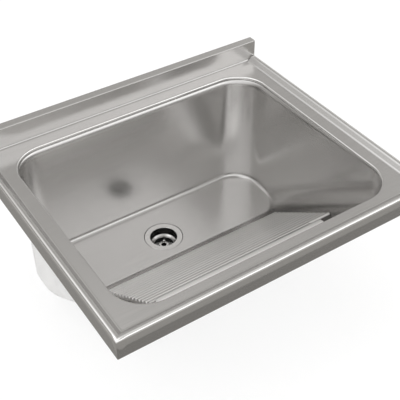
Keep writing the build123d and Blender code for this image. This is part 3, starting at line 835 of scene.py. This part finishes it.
def plain(name, colour, glow=0.0):
    """Flat stage colour, lit or glowing by itself."""

    def dress(s):
        look = {"Base Color": (*colour, 1.0), "Roughness": 0.9}
        if glow:
            look.update({"Emission Color": (*colour, 1.0), "Emission Strength": glow, "Base Color": (0, 0, 0, 1)})
        return look

    return material(name, dress)


def card(name, corners, shade):
    """Stage rectangle from four corners."""
    mesh = bpy.data.meshes.new(name)
    mesh.from_pydata(corners, [], [range(len(corners))])
    made = bpy.data.objects.new(name, mesh)
    mesh.materials.append(shade)
    bpy.context.scene.collection.objects.link(made)
    return made


CARD = 0.38
floor_z = float(cad_box[0][2]) if not isinstance(cad_box, dict) else -0.3395
FLOOR_SIZE = 9.0
floor_corners = [(x * FLOOR_SIZE, y * FLOOR_SIZE, floor_z) for x, y in ((-1, -1), (1, -1), (1, 1), (-1, 1))]
pale = plain("floor", (0.95, 0.95, 0.95))
nodes = pale.node_tree.nodes
floor_shade = Shade(pale.node_tree)
seen = floor_shade.node("ShaderNodeLightPath", out=0)
white = floor_shade.node("ShaderNodeEmission", values={"Color": (1.0, 1.0, 1.0, 1.0), "Strength": 1.0})
matt_floor = Shade(pale.node_tree, nodes["Principled BSDF"].outputs[0])
both = floor_shade.node("ShaderNodeMixShader", values={0: seen * 0.75, 1: matt_floor, 2: white})
pale.node_tree.links.new(both.socket, nodes["Material Output"].inputs["Surface"])
floor = card("floor", floor_corners, pale)
low = floor_z + 0.004
grey = card("grey card", [(-4, -6, low), (5, -6, low), (5, 4, low), (-4, 4, low)], plain("card grey", (1.03 * CARD, CARD, 0.95 * CARD), 1.0))
for flag in ("visible_camera", "visible_diffuse", "visible_shadow", "visible_transmission", "visible_volume_scatter"):
    setattr(grey, flag, False)

# %% World


ROOM_TURN = np.radians(33.671)
SIDES = {"back": 0, "right": 90, "front": 180, "left": 270}
ROOM_LEVEL = 0.68
PANELS = {
    "low shade behind": ("back", (-1.1, -1.0, 0.0, 0.3), -0.4),
    "dark strip behind": ("back", (0.5, 0.62, 0.62, 0.74), -0.4),
    "low shade at the right": ("right", (-1.1, -1.0, 0.0, 0.33), -0.65),
    "soft box at the right": ("right", (0.3, 0.5, 0.52, 0.8), 1.5),
    "fill in front": ("front", (0.0, 0.3, 0.5, 0.75), 0.4),
    "high strip in front": ("front", (0.62, 0.74, 0.74, 0.88), 1.1),
    "gap above the front": ("front", (0.78, 0.9, 1.0, 1.1), -0.35),
    "low shade at the left": ("left", (-1.1, -1.0, 0.3, 0.48), -0.47),
    "soft box above the left": ("left", (0.6, 0.9, 1.0, 1.1), 1.2),
}


def band(z, start, full, last, end):
    """1 from full to last, with straight ramps from 0 at start and down to 0 at end."""
    return z.spread(start, full) * z.spread(end, last)


def sky():
    """Surround: white for the camera, and a brightness by direction for light and reflections.

    Each side of the room counts by the square of the cosine of its angle to the direction, and each
    panel brightens or darkens its side over a band of heights.
    """
    world = bpy.data.worlds.new("surround")
    bpy.context.scene.world = world
    world.use_nodes = True
    tree = world.node_tree
    s = Shade(tree)
    x, y, z = s.parts(s.node("ShaderNodeTexCoord", out=0))
    spread = x * x + y * y + 0.0001
    weights = {}
    for side, turn in SIDES.items():
        angle = ROOM_TURN + np.radians(turn)
        towards = (x * float(np.sin(angle)) + y * float(np.cos(angle))).maths("MAXIMUM", 0.0)
        weights[side] = towards * towards / spread
    level = z * 0.0 + ROOM_LEVEL
    for side, heights, change in PANELS.values():
        level = level + weights[side] * band(z, *heights) * change
    seen = s.node("ShaderNodeLightPath", out=0)
    value = seen * (1.0 - level) + level
    warm = [value * value.spread(0.2, 1.0, share, 1.0) for share in (0.965, 0.91)]
    grey_value = value.node("ShaderNodeCombineXYZ", values={0: value, 1: warm[0], 2: warm[1]})
    tree.links.new(grey_value.socket, tree.nodes["Background"].inputs["Color"])
    print("sky panels:", len(PANELS))
    return world


sky()


def area(name, place, target, size, power):
    """Soft square light that faces a point."""
    from mathutils import Vector

    lamp = bpy.data.lights.new(name, "AREA")
    lamp.size, lamp.energy = size, power
    made = bpy.data.objects.new(name, lamp)
    made.location = place
    made.rotation_euler = (Vector(target) - Vector(place)).to_track_quat("-Z", "Y").to_euler()
    bpy.context.scene.collection.objects.link(made)
    made.visible_glossy = False
    return made


KEY_POWER = 55.0
area("key", (-0.5, -0.5, 2.4), (0, -0.25, -0.1), 3.6, KEY_POWER)

# %% [markdown]
# ## Camera
# The lens and place come from a perspective fit to the edges and corners of the photograph.

# %% Camera
camera_data = bpy.data.cameras.new("camera")
camera = bpy.data.objects.new("camera", camera_data)
bpy.context.scene.collection.objects.link(camera)
camera_data.lens = 72.26
camera_data.sensor_width = 36.0
camera.location = (-0.58815, -1.15099, 0.85353)
camera.rotation_euler = (np.radians(48.975), 0.0, np.radians(-33.671))
bpy.context.scene.camera = camera
bpy.context.scene.view_settings.view_transform = "Standard"
